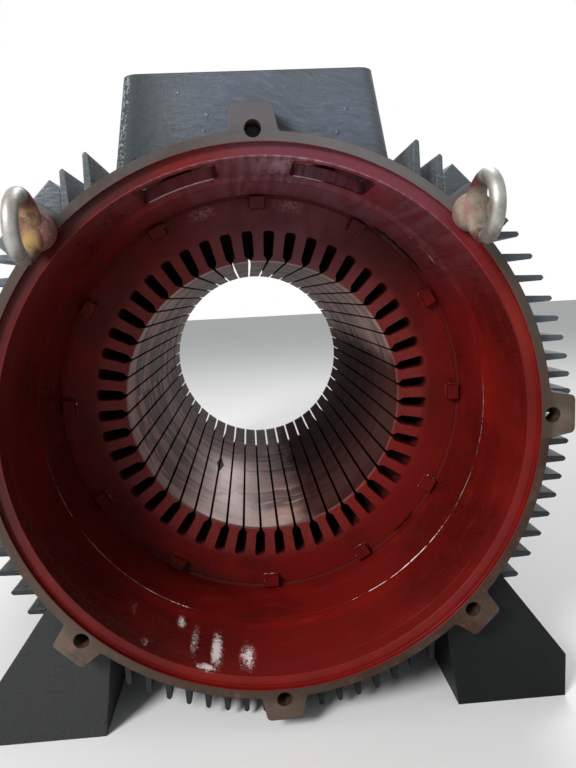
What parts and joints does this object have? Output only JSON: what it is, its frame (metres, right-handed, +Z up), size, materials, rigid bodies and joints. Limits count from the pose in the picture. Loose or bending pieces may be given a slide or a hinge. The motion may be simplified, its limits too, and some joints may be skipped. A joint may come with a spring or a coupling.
{
  "type": "electric machine stator frame",
  "caption": "Horizontal ribbed cast-iron stator frame on four feet, with a slotted laminated core, open spigoted ends, a terminal pedestal and two eye bolts.",
  "frame": {"origin": "on the ground plane, centre of the four foot bolt holes, midway between the two flange faces", "axes": "+Y along the shaft axis from the front face to the rear face, +Z up, +X to the right seen from the front"},
  "size_m": [0.696, 1.2115, 0.728],
  "materials": {
    "frame_paint": "graphite grey gloss paint over cast iron, with a fine cast texture",
    "red_enamel": "deep red insulating enamel, glossy, with brush marks and runs",
    "machined_iron": "turned cast iron, brownish with light corrosion",
    "lamination_steel": "stacked sheet steel, grey brown with fine lines round the bore",
    "zinc_steel": "zinc plated forged steel with red overspray"
  },
  "bodies": {
    "root": {"frame_barrel": "red_enamel", "front_chamber_wall": "red_enamel", "rear_chamber_wall": "red_enamel", "front_flange": "machined_iron", "rear_flange": "machined_iron", "right_fins": "frame_paint", "left_fins": "frame_paint", "top_right_fins": "frame_paint", "top_left_fins": "frame_paint", "top_middle_fins": "frame_paint", "bottom_fins": "frame_paint", "terminal_pedestal": "frame_paint", "front_left_foot": "frame_paint", "front_right_foot": "frame_paint", "rear_left_foot": "frame_paint", "rear_right_foot": "frame_paint", "stator_core": "lamination_steel", "front_end_plate": "red_enamel", "rear_end_plate": "red_enamel", "core_tie_bars": "red_enamel", "front_cleats": "red_enamel", "rear_cleats": "red_enamel", "front_left_lifting_boss": "frame_paint", "front_right_lifting_boss": "frame_paint", "rear_left_lifting_boss": "frame_paint", "rear_right_lifting_boss": "frame_paint", "left_eye_bolt": "zinc_steel", "right_eye_bolt": "zinc_steel"}
  },
  "joints": []
}
